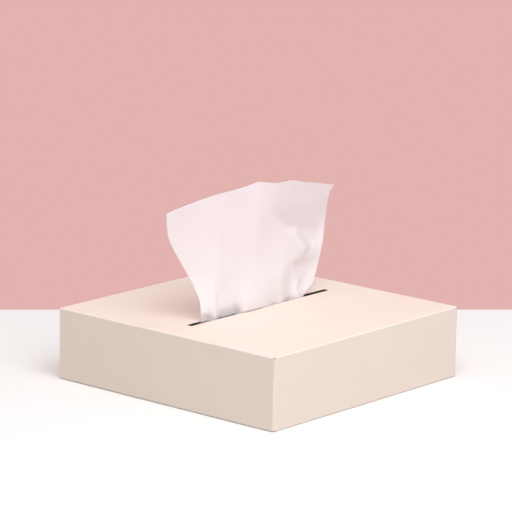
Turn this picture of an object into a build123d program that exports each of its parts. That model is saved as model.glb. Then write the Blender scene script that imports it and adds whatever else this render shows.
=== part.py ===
from build123d import *
from math import cos, pi, sin
import os

os.makedirs("parts", exist_ok=True)

# Carton, outside sizes, with the slot running along Y
carton_side = 212.0
carton_height = 54.7
card = 0.5
fold_radius = 1.0
slot_length = 158.0
slot_width = 5.5
slot_corner = 1.5

# Flaps of the blank
glue_flap = 15.0
dust_flap = 55.0
inner_flap = 40.0
flap_side_gap = 0.7
cut_edge_gap = 0.7
lap = 12.0

# Sheets lying flat in the carton
sheet_side = 200.0
stack_height = 45.0
stack_crown = 0.8
stack_bulge = 1.2

# The drawn sheet, a soft paper that is modelled a little thicker than it is. Its pleats in the
# slot reach that far to the front and to the back of the slot's middle
paper = 0.5
pleat_depth = 1.9
bend_radius = 4.5
drawn_height = 95.0
hidden_left, hidden_right = -94.0, 92.0
rows_above, rows_below, columns = 13, 4, 24

# Middle of each layer of card, counted inwards from the outside
wall_middle = carton_side / 2 - card / 2
top_middle = carton_height - card / 2
bottom_middle = card / 2
middle_radius = fold_radius - card / 2

# The blank's sleeve: bottom, two sides and top, closed by a flap glued inside the left side
sleeve_half = carton_side / 2 - 2 * card - fold_radius
with BuildPart() as carton:
    with BuildSketch(Plane.XZ):
        with BuildLine():
            FilletPolyline(
                (-wall_middle + lap, bottom_middle),
                (wall_middle, bottom_middle),
                (wall_middle, top_middle),
                (-wall_middle, top_middle),
                (-wall_middle, cut_edge_gap),
                radius=middle_radius,
            )
        trace(line_width=card)
        with BuildLine():
            FilletPolyline(
                (-wall_middle + card, glue_flap),
                (-wall_middle + card, bottom_middle),
                (-wall_middle + 2 * lap, bottom_middle),
                radius=middle_radius,
            )
        trace(line_width=card)
    extrude(amount=sleeve_half, both=True)

    # Each end is closed by three layers, glued face to face: the dust flaps of both sides,
    # then the bottom's flap, then the top's flap, which covers the whole end
    dust_middle = wall_middle - 2 * card
    with BuildSketch(Plane.XY.offset(fold_radius)):
        with BuildLine():
            FilletPolyline(
                (wall_middle, dust_middle - lap),
                (wall_middle, dust_middle),
                (wall_middle - dust_flap, dust_middle),
                radius=middle_radius,
            )
        trace(line_width=card)
        mirror(about=Plane.YZ)
        mirror(about=Plane.XZ)
    extrude(amount=carton_height - 2 * fold_radius)

    inner_middle = wall_middle - card
    with BuildSketch(Plane.YZ):
        with BuildLine():
            FilletPolyline(
                (inner_middle - lap, bottom_middle),
                (inner_middle, bottom_middle),
                (inner_middle, inner_flap),
                radius=middle_radius,
            )
        trace(line_width=card)
        mirror(about=Plane.YZ)
    extrude(amount=carton_side / 2 - fold_radius, both=True)

    with BuildSketch(Plane.YZ):
        with BuildLine():
            FilletPolyline(
                (inner_middle - lap, top_middle),
                (wall_middle, top_middle),
                (wall_middle, cut_edge_gap),
                radius=middle_radius,
            )
        trace(line_width=card)
        mirror(about=Plane.YZ)
    extrude(amount=carton_side / 2 - flap_side_gap, both=True)

    # The slot is cut clean through the top panel
    with BuildSketch(Plane.XY.offset(carton_height)):
        RectangleRounded(slot_width, slot_length, slot_corner)
    extrude(amount=-2 * card, mode=Mode.SUBTRACT)
carton.part.label = "carton"
export_step(carton.part, "parts/carton.step")

# The sheets left in the carton: cut flush at both ends, soft and slightly rounded at the sides
with BuildPart() as tissue_stack:
    with BuildSketch(Plane.XZ):
        with BuildLine():
            half = sheet_side / 2
            low = card
            high = card + stack_height
            Line((-half, low), (half, low))
            ThreePointArc((half, low), (half + stack_bulge, (low + high) / 2), (half, high - stack_crown))
            ThreePointArc((half, high - stack_crown), (0, high), (-half, high - stack_crown))
            ThreePointArc((-half, high - stack_crown), (-half - stack_bulge, (low + high) / 2), (-half, low))
        make_face()
    extrude(amount=sheet_side / 2, both=True)
tissue_stack.part.label = "tissue_stack"
export_step(tissue_stack.part, "parts/tissue_stack.step")


def eased(value, low, high):
    """Smooth step from 0 at low to 1 at high."""
    share = min(max((value - low) / (high - low), 0.0), 1.0)
    return share * share * (3 - 2 * share)


def through(stations, value):
    """Smooth line through (place, offset) stations, level at each of them."""
    for (place, offset), (next_place, next_offset) in zip(stations, stations[1:]):
        if value <= next_place:
            return offset + (next_offset - offset) * eased(value, place, next_place)
    return stations[-1][1]


# Outline of the part of the sheet that stands above the carton, in (along the slot, height)
left_edge = Spline((-65, 0), (-66, 17), (-72, 30), (-83, 46), (-94.5, 65), (-97, 75), (-98, 85.5))
right_edge = Spline((50, 0), (57, 3.5), (62, 8), (68, 22), (73.5, 40), (76.5, 54), (80, 67), (85, 75), (92, 79))
top_edge = Spline((-98, 85.5), (-63, 91), (-31, 93.5), (-7, 96.5), (17, 92), (35, 92), (73, 83.5), (92, 79))

# Fold lines of the standing part, from left to right. Each runs upwards through stations of
# (height, place along the slot, depth), with depth across the slot and positive to the front,
# and the sheet swings smoothly from each line to the next
fold_lines = (
    # the left side, which leans back as it rises
    ((0, -65, -0.5), (17, -66, -1.5), (30, -72, -3), (46, -83, -5), (66, -95, -6), (96, -98, -6)),
    # the strand that rises to the left corner from the front of the slot
    ((0, -57, pleat_depth), (57, -76, -4), (96, -80, -4.5)),
    # the deep pocket at the back of the slot, which runs out into the plain left half
    ((0, -34, -pleat_depth), (32, -48, -1.5), (96, -55, -2.5)),
    # the broad bulge beside it
    ((0, -15, pleat_depth), (20, -18, 4.2), (96, -16, 1)),
    # the spine of the front layer, up to its point below the top edge
    ((0, 5, pleat_depth), (26, -2, 5.2), (60, -3, 6), (96, 12, -0.5)),
    # the small pleat at the back of the slot, lost in the front layer above it
    ((0, 30, -pleat_depth), (24, 22, 4.4), (58, 9, 5.6), (72, 6, 4.6), (96, 26, -1)),
    # the right side of the front layer, with its lobe at half height
    ((0, 42, pleat_depth), (15, 39, 3.2), (29, 33, 4), (41, 42, 4.6), (58, 21, 5), (72, 10, 3.6), (96, 34, -0.5)),
    # the foot of the step behind it
    ((0, 47, 0.5), (15, 51, -0.8), (29, 47, -1.5), (41, 56, -1.8), (58, 38, -2.2), (72, 34, -2.5), (96, 60, -3)),
    # the right side, up to the sharp corner
    ((0, 50, 0.5), (8, 62, 0), (22, 68, 0), (40, 73, 0), (66, 80, -1.5), (80, 92, -5)),
)


def fold_depth(place, height):
    """Depth of the sheet at a place along the slot and a height over the carton."""
    lines = []
    for stations in fold_lines:
        line_place = through([(level, spot) for level, spot, offset in stations], height)
        lines.append((line_place, through([(level, offset) for level, spot, offset in stations], height)))
    return through([(place, offset) for place, offset in lines], max(place, lines[0][0]))


def above(across, along):
    """Point of the standing part: across from the left edge to the right, along from slot to top."""
    foot = left_edge @ 0 + (right_edge @ 0 - left_edge @ 0) * across
    sides = (left_edge @ along) * (1 - across) + (right_edge @ along) * across
    ends = foot * (1 - along) + (top_edge @ across) * along
    corners = foot * (1 - along) + (left_edge @ 1 * (1 - across) + right_edge @ 1 * across) * along
    spot = sides + ends - corners
    return Vector(fold_depth(spot.X, spot.Y), spot.X, carton_height + spot.Y)


def below(across, down):
    """Point of the hidden part, down the sheet from the slot: a bend, then flat on the stack."""
    rest = card + stack_height + paper
    straight = carton_height - rest - bend_radius
    turn = pi / 2 * bend_radius
    spread = eased(down, straight, hidden_length)
    left = (left_edge @ 0).X + (hidden_left - (left_edge @ 0).X) * spread
    right = (right_edge @ 0).X + (hidden_right - (right_edge @ 0).X) * spread
    angle = min(max((down - straight) / bend_radius, 0.0), pi / 2)
    run = max(down - straight - turn, 0.0)
    fall = min(down, straight) + bend_radius * sin(angle)
    back = bend_radius * (1 - cos(angle)) + run
    foot = (left_edge @ 0 + (right_edge @ 0 - left_edge @ 0) * across).X
    wave = (1 - spread) * (fold_depth(foot, 0) - pleat_depth * eased(down, 0.0, straight + turn))
    return Vector(
        -back + wave * cos(angle),
        left + (right - left) * across,
        carton_height - fall - wave * sin(angle),
    )


hidden_length = sheet_side - drawn_height
shares = [column / columns for column in range(columns + 1)]
grid = []
for row in range(rows_below, 0, -1):
    grid.append([below(share, hidden_length * (row / rows_below) ** 1.6) for share in shares])
for row in range(rows_above + 1):
    grid.append([above(share, row / rows_above) for share in shares])


def moved_rows(offset):
    """The grid's points moved along the sheet's normals by offset."""
    rows = []
    for row, line in enumerate(grid):
        lower = grid[max(row - 1, 0)]
        upper = grid[min(row + 1, len(grid) - 1)]
        moved = []
        for column, point in enumerate(line):
            across = line[min(column + 1, columns)] - line[max(column - 1, 0)]
            along = upper[column] - lower[column]
            moved.append(point + across.cross(along).normalized() * offset)
        rows.append(moved)
    return rows


front = moved_rows(paper / 2)
back = moved_rows(-paper / 2)
front_lines = [Edge.make_spline(row, parameters=shares) for row in front]
back_lines = [Edge.make_spline(row, parameters=shares) for row in back]
faces = []
for lines in (front_lines, back_lines):
    faces += [Face.make_surface_from_curves(lower, upper) for lower, upper in zip(lines, lines[1:])]
for end in (0, columns):
    near = [Edge.make_line(lower[end], upper[end]) for lower, upper in zip(front, front[1:])]
    far = [Edge.make_line(lower[end], upper[end]) for lower, upper in zip(back, back[1:])]
    faces += [Face.make_surface_from_curves(inner, outer) for inner, outer in zip(near, far)]
for end in (0, -1):
    faces.append(Face.make_surface_from_curves(front_lines[end], back_lines[end]))

with BuildPart() as pulled_tissue:
    add(Solid(Shell(faces)))
pulled_tissue.part.label = "pulled_tissue"
export_step(pulled_tissue.part, "parts/pulled_tissue.step")
for piece in (carton.part, tissue_stack.part, pulled_tissue.part):
    print(piece.label, len(piece.solids()), round(piece.volume), piece.is_valid, piece.bounding_box())
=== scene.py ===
import math

import bpy
import numpy as np
from mathutils import Matrix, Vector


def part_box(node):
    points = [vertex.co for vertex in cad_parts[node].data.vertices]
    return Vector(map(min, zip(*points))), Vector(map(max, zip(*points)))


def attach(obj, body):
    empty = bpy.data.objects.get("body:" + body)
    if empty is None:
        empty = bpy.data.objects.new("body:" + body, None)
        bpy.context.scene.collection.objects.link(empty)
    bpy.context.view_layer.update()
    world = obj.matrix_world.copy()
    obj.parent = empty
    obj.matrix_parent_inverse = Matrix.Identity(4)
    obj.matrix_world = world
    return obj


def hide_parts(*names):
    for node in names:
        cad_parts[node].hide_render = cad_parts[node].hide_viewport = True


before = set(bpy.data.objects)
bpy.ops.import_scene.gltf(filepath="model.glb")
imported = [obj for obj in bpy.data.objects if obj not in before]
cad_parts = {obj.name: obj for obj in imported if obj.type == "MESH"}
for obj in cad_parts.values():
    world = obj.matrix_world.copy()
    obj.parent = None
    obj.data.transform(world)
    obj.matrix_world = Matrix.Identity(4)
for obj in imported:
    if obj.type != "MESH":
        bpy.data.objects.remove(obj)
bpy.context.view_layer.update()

# Camera and studio. The camera looks at the box over one corner from about 13 degrees up, with a
# long lens. The floor is one big plain sheet, white round the box and pale rose further off, so
# that the white tissue stands out; a soft box is up on the right and the rest is even room light.
camera_place = (1.465975, -1.697639, 0.606378)
camera_turn, camera_rise, camera_roll = (math.radians(angle) for angle in (40.89, 12.87, 0.79))
picture_width, focal_pixels, sensor_width = 512, 3078, 36.0
view_depth = 20


def placed(side, up, back, place):
    """Matrix that turns an object's x, y and z axes to these three directions, at that place."""
    return Matrix(np.column_stack((side, up, back, place)).tolist() + [[0, 0, 0, 1]])


back = np.array([
    math.sin(camera_turn) * math.cos(camera_rise),
    -math.cos(camera_turn) * math.cos(camera_rise),
    math.sin(camera_rise),
])
level_right = np.array([math.cos(camera_turn), math.sin(camera_turn), 0.0])
level_up = np.cross(back, level_right)
right = math.cos(camera_roll) * level_right + math.sin(camera_roll) * level_up
up = math.cos(camera_roll) * level_up - math.sin(camera_roll) * level_right
camera_data = bpy.data.cameras.new("camera")
camera_data.lens = focal_pixels / picture_width * sensor_width
camera_data.sensor_width = sensor_width
camera_data.clip_end = view_depth
camera = bpy.data.objects.new("camera", camera_data)
camera.matrix_world = placed(right, up, back, camera_place)
bpy.context.collection.objects.link(camera)
bpy.context.scene.camera = camera
bpy.context.scene.view_settings.view_transform = "Standard"


class Value:
    """A number socket: + - * and abs on it add Math nodes, as on a number."""

    def __init__(self, recipe, socket):
        self.recipe, self.socket = recipe, socket

    def math(self, operation, first, second=0.0):
        node = self.recipe.node("ShaderNodeMath", {"operation": operation}, {0: first, 1: second})
        return Value(self.recipe, node.outputs[0])

    def __add__(self, other):
        return self.math("ADD", self, other)

    def __radd__(self, other):
        return self.math("ADD", other, self)

    def __sub__(self, other):
        return self.math("SUBTRACT", self, other)

    def __rsub__(self, other):
        return self.math("SUBTRACT", other, self)

    def __mul__(self, other):
        return self.math("MULTIPLY", self, other)

    def __rmul__(self, other):
        return self.math("MULTIPLY", other, self)

    def __abs__(self):
        return self.math("ABSOLUTE", self)

    def least(self, other):
        return self.math("MINIMUM", self, other)

    def most(self, other):
        return self.math("MAXIMUM", self, other)


class Recipe:
    """The nodes of one material or of the world."""

    def __init__(self, owner):
        owner.use_nodes = True
        self.tree = owner.node_tree
        self.tree.nodes.clear()

    def node(self, kind, settings=(), sockets=()):
        """A node of that kind, with its settings made first and then its sockets set or linked."""
        made = self.tree.nodes.new(kind)
        for name, setting in dict(settings).items():
            setattr(made, name, setting)
        for name, value in dict(sockets).items():
            value = value.socket if isinstance(value, Value) else value
            if isinstance(value, bpy.types.NodeSocket):
                self.tree.links.new(value, made.inputs[name])
            else:
                made.inputs[name].default_value = value
        return made

    def step(self, value, low, high):
        """Smooth step from 0 at low to 1 at high."""
        sockets = {"Value": value, "From Min": low, "From Max": high}
        made = self.node("ShaderNodeMapRange", {"interpolation_type": "SMOOTHSTEP"}, sockets)
        return Value(self, made.outputs[0])

    def blend(self, share, first, second):
        """Colour that goes from the first to the second as share goes from 0 to 1."""
        made = self.node("ShaderNodeMix", {"data_type": "RGBA"}, {0: share, 6: first, 7: second})
        return made.outputs[2]

    def seen(self):
        """1 for rays of the camera, also in a gloss or through a clear piece, and 0 for all others."""
        paths = self.node("ShaderNodeLightPath").outputs
        camera_ray = Value(self, paths["Is Camera Ray"])
        glossy_ray = Value(self, paths["Is Glossy Ray"])
        clear_ray = Value(self, paths["Is Transmission Ray"])
        return (camera_ray + glossy_ray + clear_ray).least(1.0)


# What is seen of the floor and the room, and the light that they give. The room's light is rosy
# where it comes from the rose backdrop. The white part of the floor ends at a straight far edge
white = (0.95, 0.95, 0.95, 1)
bounced = (0.45, 0.44, 0.415, 1)
rose = (0.76, 0.45, 0.43, 1)
room_light = (1, 0.965, 0.975, 1)
rose_light = (1, 0.70, 0.69, 1)
room_strength = 0.66
rose_from, rose_full = 0.0, 0.8
floor_size = 8.0
table_back, table_front, table_half, table_blur = 0.213, 0.9, 0.9, 0.002
table_turn = camera_turn + math.radians(3.3)

room = Recipe(bpy.context.scene.world or bpy.data.worlds.new("room"))
bpy.context.scene.world = bpy.data.worlds[0]
aim = room.node("ShaderNodeTexCoord").outputs["Generated"]
away = room.node("ShaderNodeVectorMath", {"operation": "DOT_PRODUCT"}, {0: aim, 1: tuple(-back)})
tint = room.blend(room.step(away.outputs["Value"], rose_from, rose_full), room_light, rose_light)
light = room.node("ShaderNodeBackground", {}, {"Color": tint, "Strength": room_strength})
backdrop = room.node("ShaderNodeBackground", {}, {"Color": rose, "Strength": 1.0})
mixed = room.node("ShaderNodeMixShader", {}, {0: room.seen(), 1: light.outputs[0], 2: backdrop.outputs[0]})
room.node("ShaderNodeOutputWorld", {}, {"Surface": mixed.outputs[0]})

edge = floor_size / 2
floor_corners = [(-edge, -edge, 0), (edge, -edge, 0), (edge, edge, 0), (-edge, edge, 0)]
floor_mesh = bpy.data.meshes.new("floor")
floor_mesh.from_pydata(floor_corners, [], [(0, 1, 2, 3)])
floor = bpy.data.objects.new("floor", floor_mesh)
bpy.context.collection.objects.link(floor)
floor_paint = bpy.data.materials.new("floor")
recipe = Recipe(floor_paint)
seen = recipe.seen()
place = recipe.node("ShaderNodeTexCoord").outputs["Object"]
turning = {"Vector": place, "Angle": -table_turn}
turned = recipe.node("ShaderNodeVectorRotate", {"rotation_type": "Z_AXIS"}, turning).outputs[0]
turned = recipe.node("ShaderNodeSeparateXYZ", {}, {0: turned}).outputs
sideways, deep = Value(recipe, turned[0]), Value(recipe, turned[1])
outside = (deep - table_back).most(-table_front - deep).most(abs(sideways) - table_half)
far = recipe.step(outside, -table_blur, table_blur)
shown = recipe.blend(seen, bounced, white)
matt = recipe.node("ShaderNodeBsdfPrincipled", {}, {
    "Base Color": shown, "Roughness": 1.0, "Specular IOR Level": 0.0,
})
glow = recipe.node("ShaderNodeEmission", {}, {"Color": rose, "Strength": 1.0})
mixed = recipe.node("ShaderNodeMixShader", {}, {0: far * seen, 1: matt.outputs[0], 2: glow.outputs[0]})
recipe.node("ShaderNodeOutputMaterial", {}, {"Surface": mixed.outputs[0]})
floor_mesh.materials.append(floor_paint)

# The soft box: a square lamp that faces the carton's middle
key_direction = np.array([0.58, -0.34, 0.74])
key_distance, key_size, key_power = 1.6, 1.3, 16.8
key_colour = (0.99, 1.0, 0.99)
key_data = bpy.data.lights.new("key", "AREA")
key_data.shape = "SQUARE"
key_data.size = key_size
key_data.energy = key_power
key_data.color = key_colour
key = bpy.data.objects.new("key", key_data)
key_back = key_direction / np.linalg.norm(key_direction)
key_side = np.cross((0, 0, 1), key_back)
key_side /= np.linalg.norm(key_side)
key_up = np.cross(key_back, key_side)
key.matrix_world = placed(key_side, key_up, key_back, key_back * key_distance)
bpy.context.collection.objects.link(key)

# Carton. One blank of plain, uncoated folding boxboard, cut, scored and folded, with its flaps
# glued down. Its faces are flat and matt, with a fine fibre grain, and the scored folds are
# rubbed a little paler than the panels.
carton_low, carton_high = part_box("carton")
top_height = carton_high[2]
half_side = carton_high[0]
board_colour = (0.93, 0.815, 0.735, 1)
board_worn = (0.95, 0.86, 0.80, 1)
board_deep = (0.918, 0.80, 0.718, 1)
fibre_scale, cloud_scale = 900.0, 22.0
rub_from, rub_to, rub_ragged, rub_strength = 0.0003, 0.0014, 0.0012, 0.5

board = bpy.data.materials.new("paperboard")
recipe = Recipe(board)
place = recipe.node("ShaderNodeTexCoord").outputs["Object"]
axes = recipe.node("ShaderNodeSeparateXYZ", {}, {0: place}).outputs
from_side = half_side - abs(Value(recipe, axes[0]))
from_end = half_side - abs(Value(recipe, axes[1]))
height = Value(recipe, axes[2])
from_level = (top_height - height).least(height)
nearness = from_side.least(from_end).most(from_side.most(from_end).least(from_level))
fibres = recipe.node("ShaderNodeTexNoise", {}, {
    "Vector": place, "Scale": fibre_scale, "Detail": 4.0, "Roughness": 0.6,
})
clouds = recipe.node("ShaderNodeTexNoise", {}, {"Vector": place, "Scale": cloud_scale, "Detail": 3.0})
grain = Value(recipe, fibres.outputs[0])
cloud = Value(recipe, clouds.outputs[0])
rubbed = (1 - recipe.step(nearness + (grain - 0.5) * rub_ragged, rub_from, rub_to)) * rub_strength
tone = recipe.blend(recipe.step(cloud * 0.75 + grain * 0.25, 0.35, 0.65), board_deep, board_colour)
tone = recipe.blend(rubbed, tone, board_worn)
relief = recipe.node("ShaderNodeBump", {}, {"Strength": 0.12, "Distance": 0.0004, "Height": grain})
paint = recipe.node("ShaderNodeBsdfPrincipled", {}, {
    "Base Color": tone, "Roughness": 0.6 + (cloud - 0.5) * 0.1, "Normal": relief.outputs[0],
    "Specular IOR Level": 0.5,
})
recipe.node("ShaderNodeOutputMaterial", {}, {"Surface": paint.outputs[0]})
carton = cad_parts["carton"]
carton.data.materials.clear()
carton.data.materials.append(board)

# Stack of tissues. Soft, creped two-ply paper, white, so thin that light comes through it. Up the drawn
# sheet the white has a faint rose blush painted on and is a little darker: painted light, standing for the
# rose backdrop's light coming through a single ply, while its gathered foot stays plain white. The stack
# is what is left in the carton; only its top shows, in the dark of the slot. The drawn tissue is of the
# same paper.
# The paper's two mottled tones, each with a painted rose blush of backdrop light in it, and the plain
# white of its foot. The blush is full from 70 mm over the carton's top and gone 5 mm over it
tissue_tone_and_rose_light = (0.97, 0.925, 0.95, 1)
tissue_deep_tone_and_rose_light = (0.96, 0.91, 0.935, 1)
tissue_white_foot = (0.965, 0.99, 1.0, 1)
tissue_glow = (0.98, 0.97, 1.0, 1)
see_through = 0.4
crepe_scale, crepe_stretch, mottle_scale = 1600.0, (1.0, 0.25, 1.0), 260.0
painted_rose_full_at, painted_rose_gone_at = top_height + 0.07, top_height + 0.005

tissue_paper = bpy.data.materials.new("tissue_paper")
recipe = Recipe(tissue_paper)
place = recipe.node("ShaderNodeTexCoord").outputs["Object"]
stretched = recipe.node("ShaderNodeMapping", {}, {"Vector": place, "Scale": crepe_stretch}).outputs[0]
crepes = recipe.node("ShaderNodeTexNoise", {}, {"Vector": stretched, "Scale": crepe_scale, "Detail": 3.0})
mottles = recipe.node("ShaderNodeTexNoise", {}, {"Vector": place, "Scale": mottle_scale, "Detail": 4.0})
crepe = Value(recipe, crepes.outputs[0])
mottle = Value(recipe, mottles.outputs[0])
relief = recipe.node("ShaderNodeBump", {}, {
    "Strength": 0.15, "Distance": 0.0003, "Height": crepe * 0.6 + mottle * 0.4,
})
tone = recipe.blend(recipe.step(mottle, 0.3, 0.7), tissue_deep_tone_and_rose_light, tissue_tone_and_rose_light)
height = Value(recipe, recipe.node("ShaderNodeSeparateXYZ", {}, {0: place}).outputs[2])
# Painted light: the painted rose blush of light through the sheet fades out towards its foot, which is
# left plain white
tone = recipe.blend(recipe.step(height, painted_rose_full_at, painted_rose_gone_at), tone, tissue_white_foot)
paint = recipe.node("ShaderNodeBsdfPrincipled", {}, {
    "Base Color": tone, "Roughness": 0.95, "Normal": relief.outputs[0], "Specular IOR Level": 0.1,
})
through = recipe.node("ShaderNodeBsdfTranslucent", {}, {
    "Color": tissue_glow, "Normal": relief.outputs[0],
})
mixed = recipe.node("ShaderNodeMixShader", {}, {
    0: see_through, 1: paint.outputs[0], 2: through.outputs[0],
})
recipe.node("ShaderNodeOutputMaterial", {}, {"Surface": mixed.outputs[0]})
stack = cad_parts["tissue_stack"]
stack.data.materials.clear()
stack.data.materials.append(tissue_paper)

# Drawn tissue. One sheet 200 mm square, half pulled out: gathered into the slot, spread in soft
# folds above it, with the other half still lying on the stack under the carton's top. Its sizes
# are in millimetres, and its depth is across the slot, positive to the front.
mm = 0.001
toward_camera = (1.0, -1.16, 0.325)
paper = 0.25
columns, rows_above, rows_below = 240, 130, 60
crease_passes = 4

# The slot holds the sheet this close to its middle, and above it the folds may billow out
slot_clearance, held_height, billow = 2.25, 6, 2.5

# The side of the front layer: how wide and how round its step is, and the heights between which
# it comes out of the slot and runs out again below the top edge
step_margin, step_width, step_round = 0.3, 3.0, 1.6
step_starts, step_ends = (0, 8), (66, 80)

# Outline of the standing part, as (along the slot, height over the carton) in the slot's plane
left_edge = (
    (-65.8, 0), (-65.9, 9.5), (-67.7, 17.4), (-75.5, 30.8), (-84.3, 42.7), (-95.6, 58), (-102, 69),
    (-104.2, 78), (-104.4, 87.6),
)
right_edge = (
    (50.9, 0), (56.7, 3.7), (61.9, 8.4), (67.8, 22), (73.6, 39.9), (75.7, 53.7), (78, 67.4),
    (80.8, 76.4), (86.2, 81.2),
)
top_edge = (
    (-104.4, 87.6), (-84.9, 90.1), (-67.6, 92), (-50.2, 93.4), (-32.5, 93.9), (-14.7, 95), (-4.6, 96),
    (3.4, 95.1), (16, 92.5), (28.7, 92), (35.6, 91.8), (49.7, 88.6), (68.7, 84.9), (86.2, 81.2),
)

# Fold lines, from left to right: each has (height, place along the slot, depth) stations. The
# sheet is flat between neighbouring lines, as far as its soft creases allow
fold_lines = {
    "left edge": (
        (-2, -66.2, -2.2), (1.5, -66.2, -2.2), (7, -66.3, -0.4), (12, -66.6, -0.4), (17, -68, -1.4),
        (31, -75.5, -4.8), (43, -84.3, -7.4), (58, -95.6, -10.6), (72, -103.5, -13), (98, -104.5, -13),
    ),
    "strand": (
        (-2, -58, -2.2), (1.5, -58, -2.2), (6.5, -58, 0.6), (14, -58, 0.6), (34, -66, -3.2),
        (50, -79, -6.6), (66, -93, -10.4), (76, -98, -11.8), (98, -99, -12),
    ),
    "strand side": (
        (-2, -50, 0.6), (2, -50, 2.4), (7, -50.5, 3), (20, -50, 2.6), (34, -56, -0.8), (50, -70, -4.6),
        (66, -84, -8.4), (76, -92, -10.4), (98, -94, -10.4),
    ),
    "pocket": (
        (-2, -45.5, -2.2), (1, -45.5, -2.2), (8, -46, 0.4), (18, -46, 0.8), (34, -46, 1.8), (60, -46, 0),
        (98, -46, -2.4),
    ),
    "pocket floor": (
        (-2, -27, -2.2), (1, -27, -2.2), (8, -30, 0.2), (18, -36, 0.6), (34, -34, 2.2), (60, -34, 1.4),
        (98, -34, -0.6),
    ),
    "bulge": (
        (-2, -18, 2.2), (1.5, -17, 5.2), (6, -15, 6.4), (14, -14, 5.8), (24, -14, 4.6), (34, -14, 4.2),
        (60, -15, 4), (98, -16, 2),
    ),
    "shoulder": (
        (-2, -6, 2.2), (1.5, -6, 5.6), (6, -5, 6.8), (16, -5, 6.2), (34, -5, 5.8), (60, -4, 6.4),
        (80, -1, 6), (98, 2, 4.6),
    ),
    "spine": (
        (-2, 4, 2.2), (1.5, 4, 5.4), (6, 4, 6.8), (16, 4, 7), (34, 4.5, 6.4), (55, 5.5, 5.8),
        (69, 8, 6.4), (80, 11, 6.4), (98, 14, 5.4),
    ),
    "small hollow": (
        (-2, 16.5, -0.4), (8, 17, 5.4), (20, 18, 7.6), (40, 20, 7.2), (56, 16, 6.2), (69, 12, 6.6),
        (80, 18, 6.2), (98, 22, 5.2),
    ),
    "thin pleat": (
        (-2, 24.5, 2.2), (2, 24.5, 4.8), (10, 25, 7.2), (20, 26, 8.2), (30, 28, 8.4), (44, 30, 8),
        (54, 29, 7), (60, 24, 6.6), (70, 26, 4.8), (80, 30, 4.2), (98, 34, 3.4),
    ),
    "back pleat": (
        (-2, 32, -2.2), (8, 33, 0.4), (18, 35, 3.6), (28, 38, 7.6), (38, 47, 9), (50, 41, 7.8),
        (60, 36, 5), (70, 38, 1.6), (80, 42, 1.2), (98, 46, 1.7),
    ),
    "last pleat": (
        (-2, 43.5, 2.2), (2, 43.5, 4.6), (14, 44.5, 4.4), (26, 47, 6.4), (33, 52, 7.4), (38, 57, 8.2),
        (52, 56, 4), (60, 66, -5.6), (72, 66, -3), (98, 67, -1.5),
    ),
    "right edge": (
        (-2, 51, 0.6), (12, 64, 0), (23, 69, -2), (43, 75, -6.5), (60, 77.5, -7), (72, 80, -5.5),
        (90, 88, -7),
    ),
}

# The back layer stands behind that and to the right of the front layer's side
back_lines = {
    "hollow": (
        (-2, 40, 0.5), (8, 43.5, 0.5), (13, 45.5, 0), (24, 39, 0.5), (28, 36.5, 5.5), (30, 47, 6),
        (34, 52, 4.2), (37, 56, -0.5), (40, 53.5, -5), (52, 41.5, -4), (55, 32, -2), (64, 16.5, 3.6),
        (69, 9, 6.2), (80, 14, 6), (98, 20, 5.4),
    ),
    "floor": (
        (-2, 47, 0.5), (14, 52, -1.5), (28, 67, -1.5), (36, 67.5, -4.6), (44, 67, -7.5), (50, 67, -7.8),
        (60, 66, -5.6), (72, 66, -3), (98, 67, -1.5),
    ),
    "right edge": (
        (-2, 51, 0.6), (12, 64, 0), (23, 69, -2), (43, 75, -6.5), (60, 77.5, -7), (72, 80, -5.5),
        (90, 88, -7),
    ),
}

# The front layer's side, from the top edge down to the slot, as (along the slot, height)
front_side = (
    (-30, 104), (2, 76), (9.3, 69.8), (16.6, 64.4), (29.6, 54.7), (41.3, 52.1), (53.3, 40.1),
    (55.8, 36.9), (47, 29.6), (35.8, 28.4), (45.8, 13.2), (43.5, 8), (52, -6),
)


def eased(value, low, high):
    """Smooth step: 0 below low, 1 above high, 3t squared less 2t cubed between."""
    share = np.clip((value - low) / (high - low), 0.0, 1.0)
    return share * share * (3 - 2 * share)


def curve(points, share):
    """Points at each share of the length of a smooth Catmull-Rom curve through the given points."""
    points = np.array(points, float)
    padded = np.vstack((2 * points[0] - points[1], points, 2 * points[-1] - points[-2]))
    steps = np.linspace(0, len(points) - 1, 40 * len(points))
    k = np.minimum(steps.astype(int), len(points) - 2)
    t = (steps - k)[:, None]
    a, b, c, d = padded[k], padded[k + 1], padded[k + 2], padded[k + 3]
    fine = b + 0.5 * t * (c - a + t * (2 * a - 5 * b + 4 * c - d + t * (3 * (b - c) + d - a)))
    length = np.concatenate(([0], np.cumsum(np.linalg.norm(np.diff(fine, axis=0), axis=1))))
    spots = [np.interp(share * length[-1], length, fine[:, i]) for i in range(points.shape[1])]
    return np.stack(spots, axis=-1)


def softened(field, passes):
    """A grid of numbers averaged with its neighbours, a quarter from either side, so many times."""
    for _ in range(passes):
        for axis in (0, 1):
            padding = [(1, 1) if axis == k else (0, 0) for k in (0, 1)]
            padded = np.pad(field, padding, mode="edge")
            before, after = (np.take(padded, range(k, k + field.shape[axis]), axis) for k in (0, 2))
            field = field / 2 + (before + after) / 4
    return field


def depth_across(lines, along_slot, height):
    """Depth at each point: for its height, the lines' places and depths, then straight between the
    two lines on either side of it."""
    stations = [np.array(line, float).T for line in lines.values()]
    places = [np.interp(height, levels, spots) for levels, spots, _ in stations]
    depths = [np.interp(height, levels, offsets) for levels, _, offsets in stations]
    depth = depths[0]
    for place, next_place, offset, next_offset in zip(places, places[1:], depths, depths[1:]):
        share = np.clip((along_slot - place) / (next_place - place), 0, 1)
        depth = depth + (next_offset - offset) * share
    return depth


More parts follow.
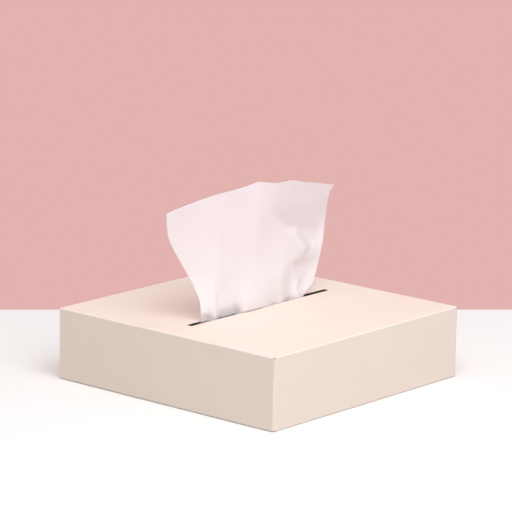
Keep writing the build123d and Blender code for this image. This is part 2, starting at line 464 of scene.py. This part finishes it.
def side_distance(path, along_slot, height):
    """Distance from each point to a path that only runs down, negative to the left of it."""
    path = np.array(path, float)
    nearest = np.full(along_slot.shape, np.inf)
    for start, end in zip(path, path[1:]):
        run = end - start
        share = ((along_slot - start[0]) * run[0] + (height - start[1]) * run[1]) / (run @ run)
        share = np.clip(share, 0, 1)
        away = np.hypot(along_slot - start[0] - share * run[0], height - start[1] - share * run[1])
        nearest = np.minimum(nearest, away)
    return nearest * np.sign(along_slot - np.interp(height, path[::-1, 1], path[::-1, 0]))


def standing(across, along):
    """The part above the slot: a Coons patch of its four edges gives place and height, the fold
    lines give depth, and the depth is laid off towards the camera so that the outline holds."""
    a, b = across[..., None], along[..., None]
    low_left, low_right = np.array(left_edge[0], float), np.array(right_edge[0], float)
    high_left, high_right = np.array(left_edge[-1], float), np.array(right_edge[-1], float)
    foot = low_left + (low_right - low_left) * a
    sides = curve(left_edge, along) * (1 - a) + curve(right_edge, along) * a
    ends = foot * (1 - b) + curve(top_edge, across) * b
    corners = (1 - b) * (low_left * (1 - a) + low_right * a) + b * (high_left * (1 - a) + high_right * a)
    flat = sides + ends - corners
    place, height = flat[..., 0], flat[..., 1]

    front = depth_across(fold_lines, place, height)
    behind = depth_across(back_lines, place, height)
    past_side = (side_distance(front_side, place, height) + step_margin) / step_width
    outside = 1 - (1 - np.clip(past_side, 0, 1)) ** step_round
    outside = outside * eased(height, *step_starts) * (1 - eased(height, *step_ends))
    depth = softened(front + (behind - front) * outside, crease_passes)

    back_limit = -slot_clearance - height
    front_limit = slot_clearance + billow * np.maximum(height, 0)
    depth = np.where(height < held_height, np.clip(depth, back_limit, front_limit), depth)
    return depth, place + toward_camera[1] * depth, height + toward_camera[2] * depth


# The standing half. Its lowest rows are levelled, so that the foot row lies in the carton's top
levelled_share = 0.08
across, along = np.meshgrid(np.linspace(0, 1, columns + 1), np.linspace(0, 1, rows_above + 1))
x, y, z = standing(across, along)
top_plane = top_height / mm
shift = eased(along, 0.0, levelled_share)
z = z * shift + (z - toward_camera[2] * x) * (1 - shift)
points = np.stack((x, y, z + top_plane), axis=-1)

# The hidden half goes on from the foot row: down through the slot, round a bend and flat on the
# stack, along one path for what stands at the slot's front and another for what stands at its back
foot_row = points[0]
stack_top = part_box("tissue_stack")[1][2] / mm
bend, hidden_length, hidden_side = 4.2, 104.0, 94.0
drop = top_plane - stack_top - paper
row_crowding, calmed, laid_back = 1.5, 0.55, 0.3
back_from, back_full = -0.8, 1.8
under_front = (
    (0, 0), (0, -drop + bend), (-bend * 0.3, -drop + bend * 0.3), (-bend, -drop), (-bend - 4, -drop),
    (-hidden_length, -drop),
)
under_back = (
    (0, 0), (-0.05, -0.9), (-1.3, -1.9), (-6, -4.8), (-13, -drop + 0.8), (-20, -drop), (-26, -drop),
    (-hidden_length, -drop),
)
down = hidden_length * np.linspace(1, 0, rows_below, endpoint=False)[:, None] ** row_crowding
share = np.linspace(0, 1, columns + 1)
spread = eased(down, drop, hidden_length)
by_front, by_back = (
    curve(path, down[:, 0] / hidden_length)[:, None] for path in (under_front, under_back)
)
at_back = eased(-foot_row[:, 0], back_from, back_full)[:, None]
path = by_front * (1 - at_back) + by_back * at_back
swing = foot_row[:, 0] * (1 - calmed * spread)
level = np.clip(-path[..., 1] / drop, 0, 1)
hidden = np.stack((
    path[..., 0] + swing * (1 - level) + (swing - slot_clearance) * laid_back * level,
    foot_row[:, 1] + (-hidden_side + 2 * hidden_side * share - foot_row[:, 1]) * spread,
    top_plane + path[..., 1] + 0 * share,
), axis=-1)
points = np.concatenate((hidden, points)) * mm

count_rows, count_columns = points.shape[:2]
index = np.arange(count_rows * count_columns).reshape(count_rows, count_columns)
corners = np.stack((index[:-1, :-1], index[:-1, 1:], index[1:, 1:], index[1:, :-1]), axis=-1)
corners = corners.reshape(-1, 4)
sheet_mesh = bpy.data.meshes.new("drawn_tissue")
sheet_mesh.from_pydata(points.reshape(-1, 3).tolist(), [], corners.tolist())
sheet_mesh.polygons.foreach_set("use_smooth", np.ones(len(corners), bool))
sheet_mesh.materials.append(tissue_paper)
tissue = bpy.data.objects.new("drawn_tissue", sheet_mesh)
bpy.context.collection.objects.link(tissue)
thickness = tissue.modifiers.new("two plies", "SOLIDIFY")
thickness.thickness = paper * mm
thickness.offset = 0
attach(tissue, "root")
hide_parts("pulled_tissue")
